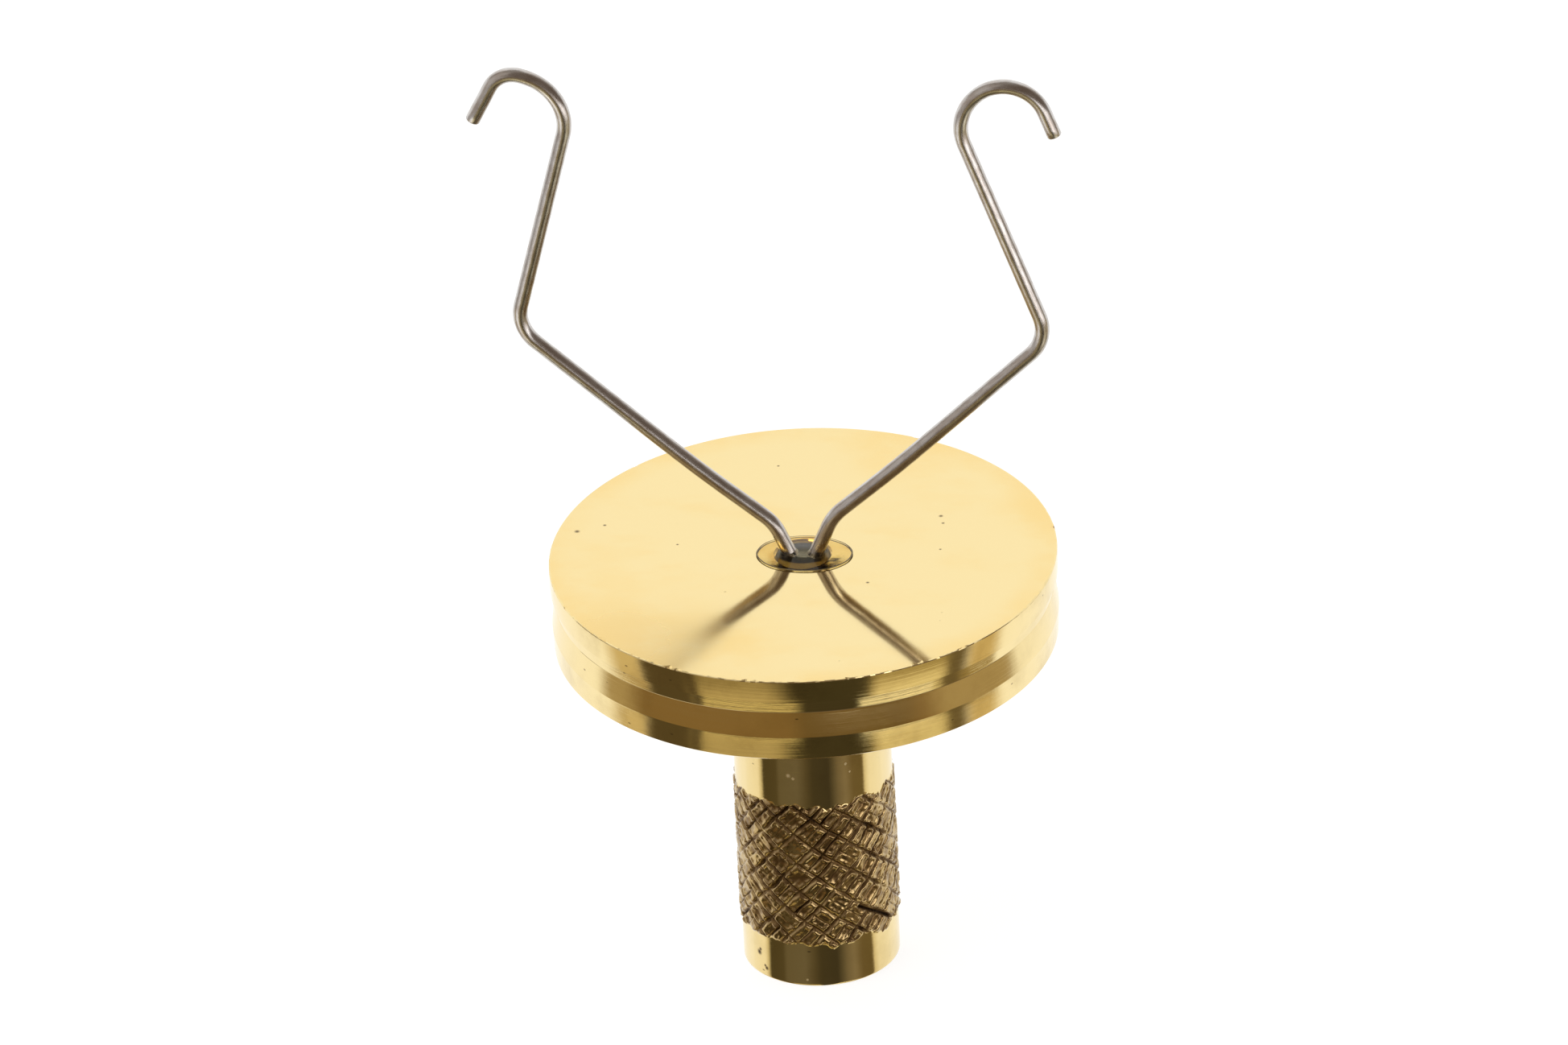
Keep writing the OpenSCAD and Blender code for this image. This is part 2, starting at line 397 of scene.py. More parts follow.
def glue_painted_shade():
    """The glue in the hole, painted near black as painted shade of the deep hole and the wires' roots, with a
    painted amber spot where light comes through and a pale thin ring at its edge.
    """
    material, tree, shader = make_material("glue_painted_shade")
    where = object_coordinates(tree)
    cloud = noise_node(tree, where, 1400, 4)
    milky = map_range(tree, cloud, 0.45, 0.8)
    # painted shade: near black stands in for the shade down in the hole
    shade = mix_colour(tree, milky, rgb(0.006, 0.004, 0.003), rgb(0.03, 0.022, 0.015))
    amber = near_point(tree, where, on_top(*AMBER[:2]), AMBER[2] * MM)
    shade = mix_colour(tree, amber, shade, rgb(0.42, 0.28, 0.06))
    thin = map_range(tree, from_axis(tree, where, (1, 1.35, 0)), *THIN_GLUE)
    shade = mix_colour(tree, thin, shade, rgb(0.50, 0.37, 0.13))
    tree.links.new(shade, shader.inputs["Base Color"])
    tree.links.new(map_range(tree, cloud, 0.3, 0.8, 0.35, 0.6), shader.inputs["Roughness"])
    shader.inputs["Specular IOR Level"].default_value = 0.1
    tree.links.new(bump(tree, cloud, 0.05 * MM), shader.inputs["Normal"])
    return material


# ---------------------------------------------------------------- mesh helpers
def mesh_object(name, vertices, faces, materials, smooth_angle=35.0, wire_uv=()):
    """A mesh object from plain lists, shaded smooth up to an angle. wire_uv has each face's corners."""
    mesh = bpy.data.meshes.new(name)
    mesh.from_pydata([tuple(v) for v in vertices], [], faces)
    for material in materials:
        mesh.materials.append(material)
    if wire_uv:
        layer = mesh.uv_layers.new(name="wire_uv")
        for face, values in zip(mesh.polygons, wire_uv):
            for loop, value in zip(face.loop_indices, values):
                layer.data[loop].uv = value
    made = bpy.data.objects.new(name, mesh)
    bpy.context.scene.collection.objects.link(made)
    work = bmesh.new()
    work.from_mesh(mesh)
    bmesh.ops.recalc_face_normals(work, faces=work.faces)
    limit = math.radians(smooth_angle)
    for edge in work.edges:
        if len(edge.link_faces) == 2 and edge.calc_face_angle() > limit:
            edge.smooth = False
    for face in work.faces:
        face.smooth = True
    work.to_mesh(mesh)
    work.free()
    return made


def join(first, second, around):
    """Faces between two rings of vertices, which start at first and at second."""
    after = [(i + 1) % around for i in range(around)]
    return [(first + i, first + k, second + k, second + i) for i, k in enumerate(after)]


def tube(rings, around):
    """Faces between each ring of vertices and the next."""
    faces = []
    for j in range(rings - 1):
        faces += join(j * around, (j + 1) * around, around)
    return faces


def cap(vertices, faces, first, around, centre):
    """Closes the ring of vertices that starts at first with a fan round a new centre."""
    vertices.append(centre)
    hub = len(vertices) - 1
    faces += [(hub, first + i, first + (i + 1) % around) for i in range(around)]


def lathe(rows, around):
    """Vertices and faces of rings about Z. Each row is a function of the angle to (radius, z)."""
    vertices = []
    for row in rows:
        for i in range(around):
            angle = 2 * math.pi * i / around
            radius, z = row(angle)
            vertices.append((radius * math.cos(angle), radius * math.sin(angle), z))
    return vertices, tube(len(rows), around)


def steps(a, b, count):
    """count + 1 even steps from a to b."""
    return [a + (b - a) * i / count for i in range(count + 1)]


# ---------------------------------------------------------------- flywheel
WHEEL_AROUND = 900
WHEEL_SMOOTH = 3             # degrees, so that the turned bands meet in crisp lines
HOLE_R = 1.33 * MM
TOP_LIP_H = 1.2 * MM
BOTTOM_LIP_H = 1.3 * MM
LAND_H = 0.7 * MM
# Nicks in the top edge: degrees to the right of the camera's side, half width in degrees, depth in mm.
NICKS = (
    (-33.4, 0.7, 0.16), (-31.2, 0.5, 0.12), (-14.5, 0.6, 0.13), (-12.4, 0.4, 0.10),
    (8.3, 0.5, 0.10), (24.4, 0.6, 0.20), (27.0, 0.7, 0.16), (97.0, 0.5, 0.12),
    (-71.0, 0.4, 0.06), (152.0, 0.6, 0.08), (-140.0, 0.5, 0.07),
)


def nick(angle):
    """Depth of the nicks in the top edge at an angle, in metres."""
    depth = 0.0
    for place, half, deep in NICKS:
        gap = (angle - seen_at(place) + math.pi) % (2 * math.pi) - math.pi
        depth = max(depth, deep * MM * math.exp(-((gap / math.radians(half)) ** 2)))
    return depth


def wavy(angle, scale, seed):
    """Smooth noise round the wheel, about -1 to 1."""
    return noise.noise(Vector((math.cos(angle) * scale, math.sin(angle) * scale, seed)))


def wheel_rows():
    """The flywheel's outline from the hole's lower end, out and up the rim, and in over the top."""
    r = WHEEL_R
    z0, z1 = WHEEL_BOTTOM, WHEEL_TOP
    low_lip = z0 + BOTTOM_LIP_H
    high_lip = z1 - TOP_LIP_H
    land = high_lip - LAND_H
    plain = [
        (HOLE_R, z0),
        (2.6 * MM, z0),
        (6 * MM, z0),
        (r - 0.9 * MM, z0),
        (r - 0.16 * MM, z0),
        (r - 0.098 * MM, z0 + 0.06 * MM),
        (r - 0.072 * MM, low_lip - 0.6 * MM),
        (r - 0.052 * MM, low_lip - 0.14 * MM),
        (r - 0.042 * MM, low_lip - 0.02 * MM),
        (r - 0.046 * MM, low_lip + 0.02 * MM),
        (r - 0.13 * MM, (low_lip + land) / 2),
        (r - 0.215 * MM, land + 0.01 * MM),
        (r - 0.225 * MM, land + 0.03 * MM),
        (r - 0.17 * MM, high_lip - 0.03 * MM),
        (r - 0.155 * MM, high_lip - 0.015 * MM),
    ]
    for height in steps(high_lip, z1 - 0.06 * MM, 8):
        belly = (height - z1 + 0.32 * MM) / MM
        plain.append((r - (0.002 + 0.028 * belly * belly) * MM, height))
    rows = [lambda angle, p=p: p for p in plain]

    def rim(angle):
        ragged = (0.055 + 0.03 * wavy(angle, 34, 2)) * MM
        return r - 0.012 * MM - 0.15 * nick(angle), z1 - ragged - 0.5 * nick(angle)

    def edge(angle):
        return r - 0.028 * MM - 0.5 * nick(angle), z1 - 0.016 * MM - 0.25 * nick(angle)

    def inner_edge(angle):
        return r - (0.085 + 0.05 * wavy(angle, 42, 5)) * MM - nick(angle), z1

    rows += [rim, edge, inner_edge]
    top_radii = (r - 0.4 * MM, r * 0.9, r * 0.7, r * 0.5, 3 * MM, HOLE_R + 0.12 * MM)
    rows += [lambda angle, q=q: (q, z1) for q in top_radii]
    rows.append(lambda angle: (HOLE_R, z1 - 0.1 * MM))
    return rows


def make_flywheel(top, rim_material, groove, underside, land):
    """The turned flywheel, one closed mesh, with a material for each of its turned bands."""
    rows = wheel_rows()
    vertices, faces = lathe(rows, WHEEL_AROUND)
    faces += join((len(rows) - 1) * WHEEL_AROUND, 0, WHEEL_AROUND)
    materials = [top, rim_material, groove, underside, land]
    made = mesh_object("flywheel_turned", vertices, faces, materials, WHEEL_SMOOTH)
    low_lip = WHEEL_BOTTOM + BOTTOM_LIP_H
    high_lip = WHEEL_TOP - TOP_LIP_H
    for face in made.data.polygons:
        centre = face.center
        radius = math.hypot(centre.x, centre.y)
        if face.normal.z > 0.6 and centre.z > WHEEL_TOP - 0.1 * MM and radius < WHEEL_R - 0.06 * MM:
            face.material_index = 0
        elif centre.z < WHEEL_BOTTOM + 0.01 * MM or radius < HOLE_R + 0.05 * MM:
            face.material_index = 3
        elif low_lip < centre.z < high_lip - LAND_H and radius > HOLE_R + 1 * MM:
            face.material_index = 2
        elif high_lip - LAND_H < centre.z < high_lip:
            face.material_index = 4
        else:
            face.material_index = 1
    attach(made, "base")
    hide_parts("flywheel")
    return made


# ---------------------------------------------------------------- stem
STEM_AROUND = 480
NECK_R = 3.95 * MM
FOOT_R = 3.92 * MM
FOOT_H = 2.4 * MM
KNURL_H = 7.9 * MM
KNURL_STEP = 0.052 * MM
KNURL_DEPTH = 0.21 * MM
RISING_STARTS = 15           # grooves that climb to the right, round the stem
RISING_PER_MM = 0.56         # and how many of them one millimetre of height crosses
FALLING_STARTS = 13
FALLING_PER_MM = 0.63
GROOVE_HALF = 0.15           # half the width of a groove, in millimetres
RIM_WIDTH = 0.13             # width of the raised rim that the knurling tool pushes up beside it


def groove_gap(phase, pitch):
    """Distance in millimetres to the nearest groove, and to the nearest line halfway between two."""
    gap = abs((phase + 0.5) % 1.0 - 0.5) * pitch
    return gap, 0.5 * pitch - gap


def profile(gap, half, rim):
    """Depth from 0 on a raised rim to 1 in a groove's bottom, and about 0.4 on the land beyond."""
    if gap < half:
        return 1.0 - gap / half
    return 0.42 * min(1.0, max(0.0, (gap - half - 0.25 * rim) / rim)) ** 1.5


GOUGE = ((2.10, 4.25), (4.20, 2.70))      # ends of a deep scratch: round the stem and up, in millimetres
GOUGE_HALF = 0.17
GOUGE_DEPTH = 1.25


def gouge(s, h):
    """Depth of the one deep scratch across the knurl. s is the way round from +X, h the height, in mm."""
    front = math.radians(CAMERA_AZIMUTH + 270) * NECK_R / MM
    start = Vector((front + GOUGE[0][0], GOUGE[0][1]))
    end = Vector((front + GOUGE[1][0], GOUGE[1][1]))
    spot = Vector((s, h))
    along = (spot - start).dot(end - start) / (end - start).length_squared
    gap = (spot - start.lerp(end, max(0.0, min(1.0, along)))).length
    return GOUGE_DEPTH * max(0.0, 1 - gap / GOUGE_HALF)


def knurl_depth(angle, z):
    """Depth of the knurl at a place on the stem, from 0 on the crests to about 1."""
    s = angle * NECK_R / MM
    h = z / MM
    spot = Vector((math.cos(angle) * 4, math.sin(angle) * 4, h))
    s += 0.10 * noise.noise(spot * 0.8)
    h += 0.09 * noise.noise(spot * 0.8 + Vector((5, 1, 8)))
    turn = 2 * math.pi * NECK_R / MM
    rising = s * RISING_STARTS / turn - h * RISING_PER_MM
    falling = s * FALLING_STARTS / turn + h * FALLING_PER_MM
    rising_pitch = 1 / math.hypot(RISING_STARTS / turn, RISING_PER_MM)
    falling_pitch = 1 / math.hypot(FALLING_STARTS / turn, FALLING_PER_MM)
    rising_gap, rising_half = groove_gap(rising, rising_pitch)
    falling_gap, falling_half = groove_gap(falling, falling_pitch)
    cell = Vector((math.floor(rising) % RISING_STARTS, math.floor(falling) % FALLING_STARTS, 3))
    chance = noise.cell(cell * 1.37)
    main = profile(min(rising_gap, falling_gap), GROOVE_HALF, RIM_WIDTH)
    second = max(0.0, 1 - falling_half / 0.13) * (0.35 + 0.55 * chance)
    second = max(second, max(0.0, 1 - rising_half / 0.11) * (0.75 - 0.6 * chance))
    worn = 0.72 + 0.5 * noise.noise(spot * 0.55 + Vector((2, 7, 1)))
    chewed = noise.noise(spot * 1.7) * 0.30
    chewed += noise.noise(spot * 3.6) * 0.16
    return max(gouge(s, h), max(main, second) * worn + chewed, 0.0)


def knurl_fade(angle, z):
    """1 inside the knurled band, 0 outside, with ragged ends."""
    ragged = 0.34 * MM * noise.noise(Vector((math.cos(angle) * 5, math.sin(angle) * 5, 4)))
    ragged += 0.12 * MM * noise.noise(Vector((math.cos(angle) * 15, math.sin(angle) * 15, 7)))
    inside = min(z - FOOT_H - ragged, FOOT_H + KNURL_H - z + ragged)
    return max(0.0, min(1.0, inside / (0.14 * MM) + 0.5))


def stem_surface(angle, z):
    """Radius of the stem and how deep in a groove that place is."""
    plain = FOOT_R if z < FOOT_H + KNURL_H / 2 else NECK_R
    fade = knurl_fade(angle, z)
    depth = knurl_depth(angle, z)
    crest = KNURL_R - 0.005 * MM
    knurled = crest - KNURL_DEPTH * depth
    return min(KNURL_R, plain + (knurled - plain) * fade), depth * fade


def stem_heights():
    """Heights of the stem's rings, and how far each is drawn in, for the foot's broken edge."""
    count = round((KNURL_H + 0.8 * MM) / KNURL_STEP)
    heights = [0.0, 0.0, 0.03 * MM, 0.09 * MM, 0.2 * MM]
    inset = [0.6 * MM, 0.05 * MM, 0.01 * MM]
    heights += steps(0.6 * MM, FOOT_H - 0.5 * MM, 12)
    heights += steps(FOOT_H - 0.4 * MM, FOOT_H + KNURL_H + 0.4 * MM, count)
    heights += steps(FOOT_H + KNURL_H + 0.7 * MM, WHEEL_BOTTOM, 10)
    inset += [0.0] * (len(heights) - len(inset))
    return list(zip(heights, inset))


def make_handle(knurled, plain_brass, end_brass):
    """The stem: the foot, the knurled band and the plain neck, one closed mesh."""
    rings = stem_heights()
    vertices, depths = [], []
    for z, inset in rings:
        for i in range(STEM_AROUND):
            angle = 2 * math.pi * i / STEM_AROUND
            radius, depth = stem_surface(angle, z)
            radius -= inset
            vertices.append((radius * math.cos(angle), radius * math.sin(angle), z))
            depths.append(depth)
    faces = tube(len(rings), STEM_AROUND)
    cap(vertices, faces, 0, STEM_AROUND, (0, 0, 0.0))
    cap(vertices, faces, (len(rings) - 1) * STEM_AROUND, STEM_AROUND, (0, 0, WHEEL_BOTTOM))
    depths += [0.0, 0.0]
    made = mesh_object("stem_knurled", vertices, faces, [knurled, plain_brass, end_brass], 60)
    recess = made.data.attributes.new("recess", "FLOAT", "POINT")
    recess.data.foreach_set("value", depths)
    for face in made.data.polygons:
        angle = math.atan2(face.center.y, face.center.x)
        if abs(face.normal.z) > 0.8:
            face.material_index = 2
        elif knurl_fade(angle, face.center.z) > 0.3:
            face.material_index = 0
        else:
            face.material_index = 1
    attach(made, "base")
    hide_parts("handle")
    return made


# ---------------------------------------------------------------- wires
WIRE_R = 0.372 * MM
WIRE_SIDES = 28
# Corners of each wire's middle line: out from the axis and up from the flywheel's top, then the
# bend's radius, all in millimetres. The root stands in the glue and is the same for both.
ROOT = [((0.43, -5.7), 0), ((0.43, -0.44), 1.2), ((1.05, 1.0), 3.0)]
HOOKS = {
    "left_hook": [
        ((1.35, 1.75), 2.5), ((5, 4.72), 60), ((13.88, 12.65), 2.1),
        ((10.3, 26.4), 2.7), ((14.1, 27.2), 1.3), ((15.53, 24.35), 0),
    ],
    "right_hook": [
        ((1.6, 2.25), 3.0), ((5, 5.26), 60), ((12.9, 12.82), 2.1),
        ((8.5, 25.5), 2.6), ((12.2, 28.5), 2.05), ((13.65, 24.4), 0),
    ],
}
BEND_STEP = 4.0              # degrees between rings in a bend
LEG_STEP = 0.5               # millimetres between rings in a straight leg
TIP_CHAMFER = 0.07           # millimetres


def rounded_path(corners):
    """Points along the corners with each one rounded to its radius, all in millimetres."""
    points = [Vector(corners[0][0])]
    for (before, _), (corner, radius), (after, _) in zip(corners, corners[1:], corners[2:]):
        corner = Vector(corner)
        come = (corner - Vector(before)).normalized()
        go = (Vector(after) - corner).normalized()
        turn = math.atan2(come.x * go.y - come.y * go.x, come.dot(go))
        cut = radius * math.tan(abs(turn) / 2)
        side = math.copysign(1.0, turn)
        centre = corner - come * cut + Vector((-come.y, come.x)) * side * radius
        spoke = corner - come * cut - centre
        count = max(2, math.ceil(math.degrees(abs(turn)) / BEND_STEP))
        for i in range(count + 1):
            part = Matrix.Rotation(turn * i / count, 2)
            points.append(centre + part @ spoke)
    points.append(Vector(corners[-1][0]))
    dense = [points[0]]
    for a, b in zip(points, points[1:]):
        count = max(1, math.ceil((b - a).length / LEG_STEP))
        dense += [a + (b - a) * i / count for i in range(1, count + 1)]
    return dense


def wire_rings(path):
    """Rings along a path, each with its place, heading, way along and share of the full radius."""
    end = len(path) - 1
    length = 0.0
    rings = []
    for n, point in enumerate(path):
        heading = (path[min(n + 1, end)] - path[max(n - 1, 0)]).normalized()
        if n:
            length += (point - path[n - 1]).length
        rings.append((point, heading, length, 1.0))
    tip, heading, length, _ = rings.pop()
    rings.append((tip - heading * TIP_CHAMFER, heading, length - TIP_CHAMFER, 1.0))
    rings.append((tip - heading * TIP_CHAMFER * 0.35, heading, length - TIP_CHAMFER * 0.3, 0.93))
    rings.append((tip, heading, length, 0.80))
    return rings


def wire_mesh(rings, side):
    """Vertices, faces and texture corners of a closed tube along the rings."""
    vertices, corners = [], []
    for point, heading, _, scale in rings:
        across = Vector((-heading.y, heading.x))
        radius = WIRE_R * scale
        for i in range(WIRE_SIDES):
            angle = 2 * math.pi * i / WIRE_SIDES
            out = across * math.cos(angle)
            x = side * (point.x * MM + out.x * radius)
            z = WHEEL_TOP + point.y * MM + out.y * radius
            vertices.append((x, math.sin(angle) * radius, z))
    faces = tube(len(rings), WIRE_SIDES)
    turns = [(i / WIRE_SIDES, (i + 1) / WIRE_SIDES) for i in range(WIRE_SIDES)]
    for (_, _, u0, _), (_, _, u1, _) in zip(rings, rings[1:]):
        corners += [((u0, v0), (u0, v1), (u1, v1), (u1, v0)) for v0, v1 in turns]
    for index in (0, len(rings) - 1):
        point, _, u, _ = rings[index]
        middle = (side * point.x * MM, 0, WHEEL_TOP + point.y * MM)
        cap(vertices, faces, index * WIRE_SIDES, WIRE_SIDES, middle)
        corners += [((u, 0.5), (u + 0.2, v0), (u + 0.2, v1)) for v0, v1 in turns]
    return vertices, faces, corners


def make_wire(name, body, side, material):
    """One spring wire, from its root down in the glue to its hook, as one fixed bent tube that runs through
    the hinge.
    """
    vertices, faces, corners = wire_mesh(wire_rings(rounded_path(ROOT + HOOKS[body])), side)
    made = mesh_object(name, vertices, faces, [material], 40, corners)
    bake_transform(made)
    word = body.split("_")[0]
    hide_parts(f"{word}_arm", f"{word}_wire_root")
    return made


# ---------------------------------------------------------------- glue
BEAD_HALF_L = 2.43 * MM
BEAD_HALF_W = 1.75 * MM
BEAD_LIP = 0.07 * MM
BEAD_H = 0.10 * MM
BEAD_SHIFT = 0.08 * MM
BEAD_SINK = 0.01 * MM        # the outer ring goes this far into the flywheel's face
BEAD_AROUND = 160
BEAD_RINGS = 34
SHADED_EDGE_RINGS = 4               # the outer rings, painted dark brown as painted shade of the bead's edge
MOUND = (0.11 * MM, 1.0 * MM, 0.7 * MM)      # height and half widths where the wires leave
SWIRL = (0.025 * MM, 1.62 * MM, 0.35 * MM)   # height, place and half width of a small lump on the right


def bead_outline(angle):
    """The bead's uneven oval, from its centre."""
    x, y = math.cos(angle), math.sin(angle)
    wobble = 1 + 0.022 * noise.noise(Vector((x * 1.7, y * 1.7, 3)))
    return BEAD_SHIFT + x * BEAD_HALF_L * wobble, y * BEAD_HALF_W * wobble


def bead_height(x, y, share):
    """Height of the glue: steep at its edge, nearly flat on top, drawn up where the wires leave."""
    inner = 1 - share ** 2
    mound = MOUND[0] * math.exp(-((x / MOUND[1]) ** 2 + (y / MOUND[2]) ** 2))
    swirl = SWIRL[0] * math.exp(-((math.hypot(x - SWIRL[1], y) / SWIRL[2]) ** 2))
    return BEAD_LIP + (BEAD_H + mound) * inner + swirl


def make_bead(clear, edge):
    """The clear bead of glue that stands on the flywheel round the wires."""
    vertices = []
    for j in range(1, BEAD_RINGS + 1):
        share = 1 - (1 - j / BEAD_RINGS) ** 1.6
        sink = BEAD_SINK if j == BEAD_RINGS else 0.0
        for i in range(BEAD_AROUND):
            x, y = bead_outline(2 * math.pi * i / BEAD_AROUND)
            x, y = x * share, y * share
            vertices.append((x, y, WHEEL_TOP + bead_height(x, y, share) - sink))
    faces = tube(BEAD_RINGS, BEAD_AROUND)
    cap(vertices, faces, 0, BEAD_AROUND, (0, 0, WHEEL_TOP + bead_height(0, 0, 0)))
    cap(vertices, faces, (BEAD_RINGS - 1) * BEAD_AROUND, BEAD_AROUND, (0, 0, WHEEL_TOP - BEAD_SINK))
    made = mesh_object("glue_bead", vertices, faces, [clear, edge], 50)
    last = (BEAD_RINGS - 1) * BEAD_AROUND
    # painted shade: the outer rings get the opaque dark brown edge material
    for face in made.data.polygons[last - SHADED_EDGE_RINGS * BEAD_AROUND:last]:
        face.material_index = 1
    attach(made, "base")
    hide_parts("adhesive")
    return made


CORE_DEPTH = 6.0 * MM
CORE_AROUND = 96


def make_core(material):
    """The glue down in the hole, painted dark under the bead as painted shade."""
    top = WHEEL_TOP + 0.006 * MM
    bottom = WHEEL_TOP - CORE_DEPTH

    def row(radius, z, wobble=0.0):
        return lambda angle: (radius * (1 + wobble * wavy(angle, 2.2, 11)), z)

    rows = [
        row(0.6 * MM, bottom),
        row(1.30 * MM, bottom + 0.3 * MM),
        row(1.31 * MM, top - 0.4 * MM),
        row(1.31 * MM, top - 0.12 * MM),
        row(1.22 * MM, top - 0.02 * MM, 0.05),
        row(1.0 * MM, top, 0.06),
        row(0.5 * MM, top - 0.03 * MM),
    ]
    vertices, faces = lathe(rows, CORE_AROUND)
    cap(vertices, faces, 0, CORE_AROUND, (0, 0, bottom))
    cap(vertices, faces, (len(rows) - 1) * CORE_AROUND, CORE_AROUND, (0, 0, top - 0.05 * MM))
    made = mesh_object("glue_core", vertices, faces, [material], 50)
    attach(made, "base")
    return made


# ---------------------------------------------------------------- studio
# What surrounds the tool, painted in this order over an open white sky. Each panel has its azimuth
# from the camera's side (to the right) from and to, its elevation from and to, the softness of its
# sides and of its upper and lower edges, all in degrees, and then its colour.
OPEN_SKY = (1.08, 1.08, 1.06)
BLACK = (0.055, 0.045, 0.022)
PANELS = (
    (-128, 128, 12, 95, 14, 6, (0.36, 0.31, 0.26)),        # dim room above and beside the tool
    (-185, 185, 64, 95, 1, 8, (0.32, 0.28, 0.24)),         # ceiling
    (-98, -28, -10, 55, 12, 4, (0.56, 0.51, 0.46)),        # left of the camera
    (-28, 98, -10, 75, 10, 4, (0.17, 0.13, 0.10)),         # dark room on the camera's right
    (-104, 103, -24, -8, 6, 2.5, (0.40, 0.31, 0.165)),     # far edge of the table
    (-84, 56, -24, -8, 8, 2.5, (0.232, 0.15, 0.06)),
    (-6, 46, -24, -8, 6, 2.5, (0.163, 0.11, 0.045)),
    (-103, -79, -95, -23, 8, 2, (0.66, 0.54, 0.31)),       # the table's two sides
    (-112, -84, -95, -36, 8, 1.5, (0.40, 0.30, 0.15)),
    (78, 98, -95, -23, 6, 1.5, (0.66, 0.52, 0.27)),
    (60, 101, -95, -35.5, 3, 1, (0.33, 0.25, 0.11)),
    (-82, 78, -95, -23, 4, 2, (0.15, 0.115, 0.058)),       # black cloth in front of the tool
    (-82, -50, -95, -23, 4, 2, (0.095, 0.07, 0.034)),
    (-20, 30, -95, -23, 8, 2, BLACK),
    (-54, -15, -95, -23, 9, 2.5, (0.34, 0.27, 0.13)),      # white paper on its left
    (-54, -14, -95, -32, 8, 2, (0.49, 0.40, 0.21)),
    (-54, -6, -95, -37, 4, 1.2, (0.73, 0.61, 0.30)),
    (-58, -53.5, -95, -23, 1.5, 2, (0.095, 0.07, 0.034)),
    (29, 66, -95, -23, 4, 2.5, (0.37, 0.29, 0.125)),       # and on its right
    (30, 66, -95, -31.5, 4, 2, (0.80, 0.70, 0.42)),
    (24, 62, -95, -37, 2, 1.2, (1.07, 1.0, 0.76)),
)


def inside(tree, value, low, high, soft):
    """1 between low and high, falling to 0 within soft on either side of each."""
    rise = map_range(tree, value, low - soft, low + soft)
    return math_node(tree, "MULTIPLY", rise, map_range(tree, value, high + soft, high - soft))


def paint_panels(tree, azimuth, elevation):
    """The colour of the surroundings in a direction."""
    colour = rgb(*OPEN_SKY)
    for left, right, low, high, side_soft, edge_soft, tone in PANELS:
        across = inside(tree, azimuth, left, right, side_soft)
        upright = inside(tree, elevation, low, high, edge_soft)
        mask = math_node(tree, "MULTIPLY", across, upright)
        colour = mix_colour(tree, mask, colour, rgb(*tone))
    return colour


def azimuth_of(tree, vector):
    """Degrees to the right of the camera's side as seen from the tool's axis, and the vector's z."""
    turned = add(tree, "ShaderNodeVectorRotate", {"rotation_type": "Z_AXIS"}, Vector=vector)
    turned.inputs["Angle"].default_value = math.radians(-CAMERA_AZIMUTH)
    parts = add(tree, "ShaderNodeSeparateXYZ", Vector=turned.outputs[0])
    toward_camera = math_node(tree, "MULTIPLY", parts.outputs[1], -1.0)
    radians = math_node(tree, "ARCTAN2", parts.outputs[0], toward_camera)
    return math_node(tree, "MULTIPLY", radians, math.degrees(1.0)), parts.outputs[2]


def make_world():
    """The surroundings that the metal mirrors. The camera itself sees plain white."""
    world = bpy.data.worlds.new("studio")
    bpy.context.scene.world = world
    world.use_nodes = True
    tree = world.node_tree
    tree.nodes.clear()
    azimuth, z = azimuth_of(tree, add(tree, "ShaderNodeTexCoord").outputs["Generated"])
    elevation = math_node(tree, "MULTIPLY", math_node(tree, "ARCSINE", z), math.degrees(1.0))
    colour = paint_panels(tree, azimuth, elevation)
    camera_ray = add(tree, "ShaderNodeLightPath").outputs["Is Camera Ray"]
    colour = mix_colour(tree, camera_ray, colour, rgb(1.0, 1.0, 1.0))
    background = add(tree, "ShaderNodeBackground", Color=colour)
    output = tree.nodes.new("ShaderNodeOutputWorld")
    tree.links.new(background.outputs[0], output.inputs["Surface"])


# The card below the floor that the stem mirrors: azimuth in degrees, then the colour there.
STEM_CARD = (
    (-112, (1.05, 1.04, 0.98)), (-86, (1.02, 0.98, 0.85)), (-80, (0.70, 0.62, 0.42)),
    (-76, (0.084, 0.066, 0.031)), (-55, (0.095, 0.074, 0.036)), (-50, (0.145, 0.12, 0.073)),
    (-24, (0.155, 0.13, 0.085)), (-12, (0.105, 0.084, 0.047)), (-2, (0.065, 0.053, 0.029)),
    (20, (0.056, 0.046, 0.027)), (27, (0.115, 0.096, 0.060)), (34, (0.19, 0.155, 0.10)),
    (44, (0.25, 0.205, 0.135)), (56, (0.17, 0.128, 0.062)), (73, (0.16, 0.12, 0.052)),
    (76, (0.80, 0.72, 0.52)), (84, (1.02, 0.99, 0.88)), (112, (1.05, 1.04, 0.98)),
)
# Two upright cards that the wires mirror, given in the same way.
LEFT_CARD = (
    (-112, (0.42, 0.40, 0.38)), (-70, (0.50, 0.47, 0.45)), (-44, (0.36, 0.33, 0.31)),
    (-28, (0.10, 0.085, 0.08)),
)
RIGHT_CARD = (
    (2, (0.25, 0.22, 0.20)), (14, (1.9, 1.83, 1.76)), (40, (2.4, 2.3, 2.2)), (75, (1.0, 0.97, 0.93)),
)
CARD_STEPS = 48


def card_material(name, stops):
    """A glowing card whose colour changes with azimuth."""
    material = bpy.data.materials.new(name)
    material.use_nodes = True
    tree = material.node_tree
    tree.nodes.clear()
    azimuth, _ = azimuth_of(tree, object_coordinates(tree))
    place = map_range(tree, azimuth, -180, 180, smooth=False)
    ramp = tree.nodes.new("ShaderNodeValToRGB")
    while len(ramp.color_ramp.elements) < len(stops):
        ramp.color_ramp.elements.new(1.0)
    for element, (degrees, tone) in zip(ramp.color_ramp.elements, stops):
        element.position = (degrees + 180) / 360
        element.color = rgb(*tone)
    tree.links.new(place, ramp.inputs[0])
    glow = add(tree, "ShaderNodeEmission", Color=ramp.outputs[0])
    output = tree.nodes.new("ShaderNodeOutputMaterial")
    tree.links.new(glow.outputs[0], output.inputs["Surface"])
    return material


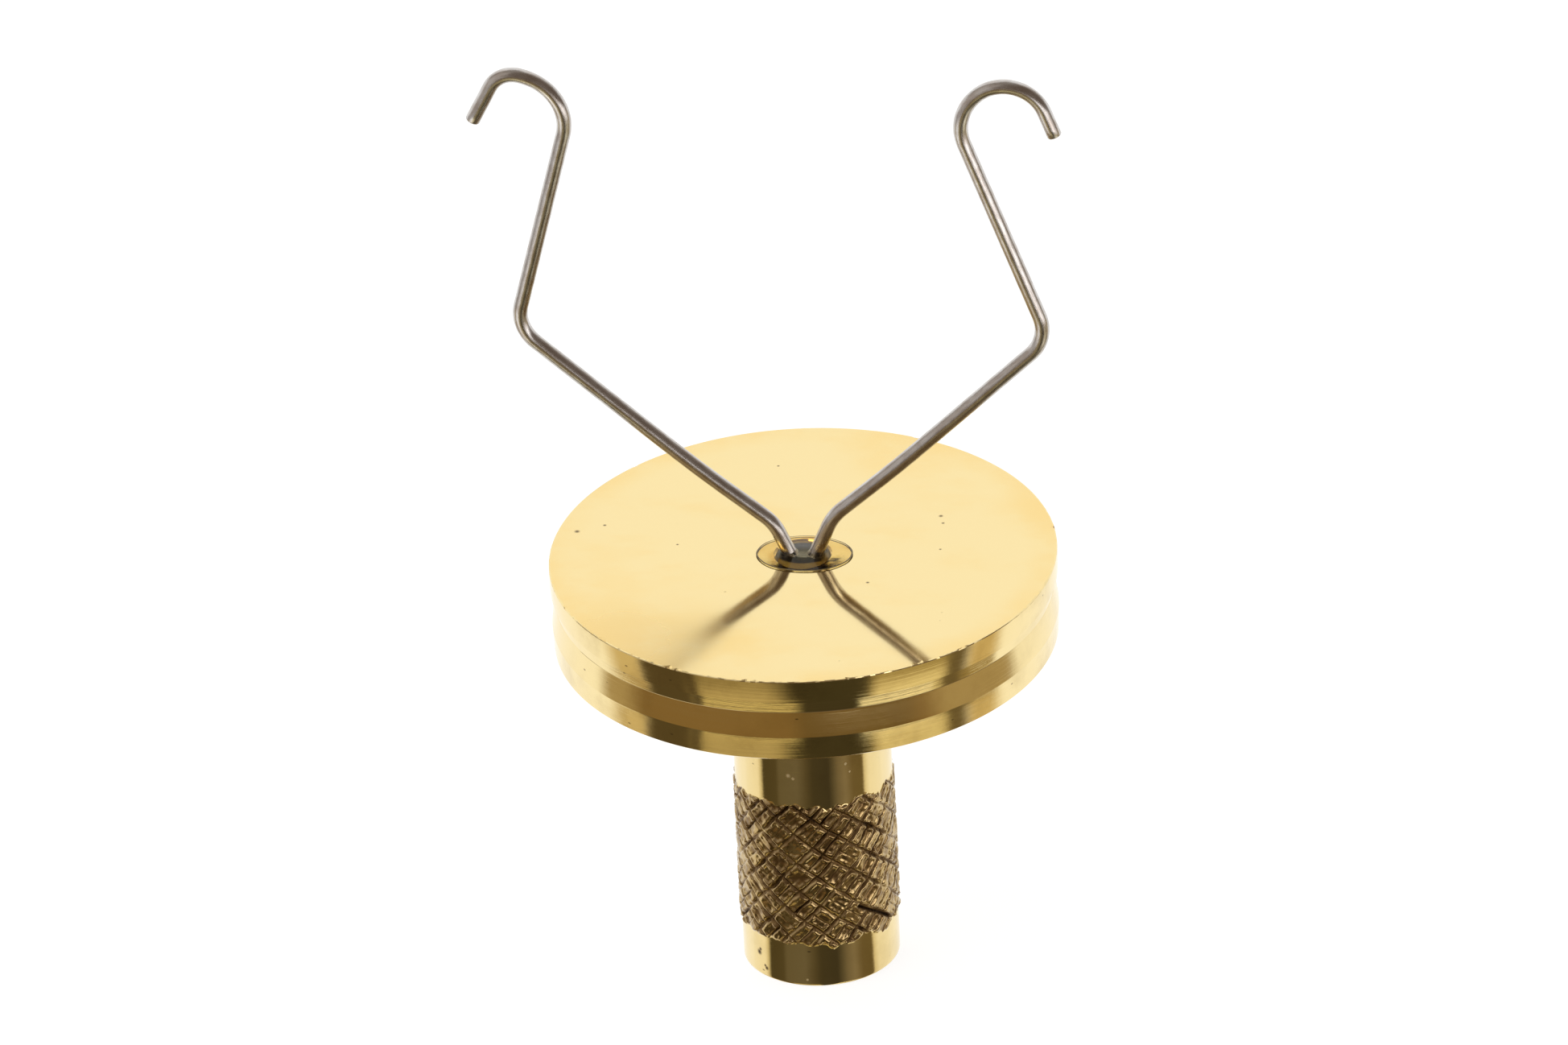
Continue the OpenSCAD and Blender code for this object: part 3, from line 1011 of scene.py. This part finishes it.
def make_card(name, stops, inner, outer, low, high):
    """A sector of a ring round the tool that only the metal mirrors. Sizes are in millimetres."""
    vertices = []
    for degrees in steps(stops[0][0], stops[-1][0], CARD_STEPS):
        angle = seen_at(degrees)
        for radius, z in ((inner, low), (outer, high)):
            vertices.append(Vector((radius * math.cos(angle), radius * math.sin(angle), z)) * MM)
    faces = [(2 * i, 2 * i + 1, 2 * i + 3, 2 * i + 2) for i in range(CARD_STEPS)]
    card = mesh_object(name, vertices, faces, [card_material(name, stops)])
    card.visible_camera = False
    card.visible_diffuse = False
    card.visible_shadow = False


FLOOR_HALF = 4.0
FLOOR_GAP = 0.02 * MM        # the floor lies this far below the foot


def make_floor():
    """A plain pale floor that the metal doesn't mirror."""
    corners = [(x * FLOOR_HALF, y * FLOOR_HALF, 0) for x, y in ((-1, -1), (1, -1), (1, 1), (-1, 1))]
    material, tree, shader = make_material("pale_floor")
    shader.inputs["Base Color"].default_value = rgb(0.35, 0.35, 0.35)
    shader.inputs["Roughness"].default_value = 0.9
    shader.inputs["Specular IOR Level"].default_value = 0.0
    shader.inputs["Emission Color"].default_value = rgb(1.0, 1.0, 1.0)
    shader.inputs["Emission Strength"].default_value = 0.85
    floor = mesh_object("floor", corners, [(0, 1, 2, 3)], [material])
    floor.location.z = -FLOOR_GAP
    floor.visible_glossy = False


def make_light(name, place, size, power, only=()):
    """A soft square lamp that points at the flywheel. Only the objects in only, if any, mirror it."""
    data = bpy.data.lights.new(name, "AREA")
    data.size = size
    data.energy = power
    lamp = bpy.data.objects.new(name, data)
    bpy.context.scene.collection.objects.link(lamp)
    lamp.location = place
    lamp.rotation_euler = (Vector(place) - Vector((0, 0, WHEEL_TOP))).to_track_quat("Z", "Y").to_euler()
    lamp.visible_camera = False
    lamp.visible_glossy = bool(only)
    if only:
        lit = bpy.data.collections.new(name + "_lights")
        for made in only:
            lit.objects.link(made)
        lamp.light_linking.receiver_collection = lit


def main():
    """The camera, the studio and then each piece."""
    make_camera()
    make_world()
    make_floor()
    make_card("stem_card", STEM_CARD, 15, 49, -10, -10)
    make_card("left_card", LEFT_CARD, 130, 130, -4, 30)
    make_card("right_card", RIGHT_CARD, 150, 150, -5, 38)
    make_light("key", (-0.35, -0.25, 0.55), 0.4, 1.2)
    make_light("fill", (0.5, 0.1, 0.35), 0.4, 0.5)
    rim_brass = turned_brass("rim_brass", BRASS, 0.10)
    land_brass = turned_brass("land_brass", BRASS, 0.065, streak=0.2)
    groove_brass = turned_brass("groove_brass", BRASS, 0.12, streak=0.2)
    under_brass = turned_brass("underside_brass", rgb(0.80, 0.62, 0.30), 0.22)
    neck_brass = stem_brass()
    make_flywheel(polished_brass(), rim_brass, groove_brass, under_brass, land_brass)
    make_handle(knurled_brass(), neck_brass, under_brass)
    wire = drawn_wire()
    wires = [make_wire("wire_left", "left_hook", -1, wire), make_wire("wire_right", "right_hook", 1, wire)]
    make_light("wire_light", (-0.17, -0.14, -0.12), 0.16, 0.085, wires)
    make_bead(clear_glue(), glue_edge_painted_shade())
    make_core(glue_painted_shade())


main()
bpy.context.scene.view_settings.view_transform = "Standard"
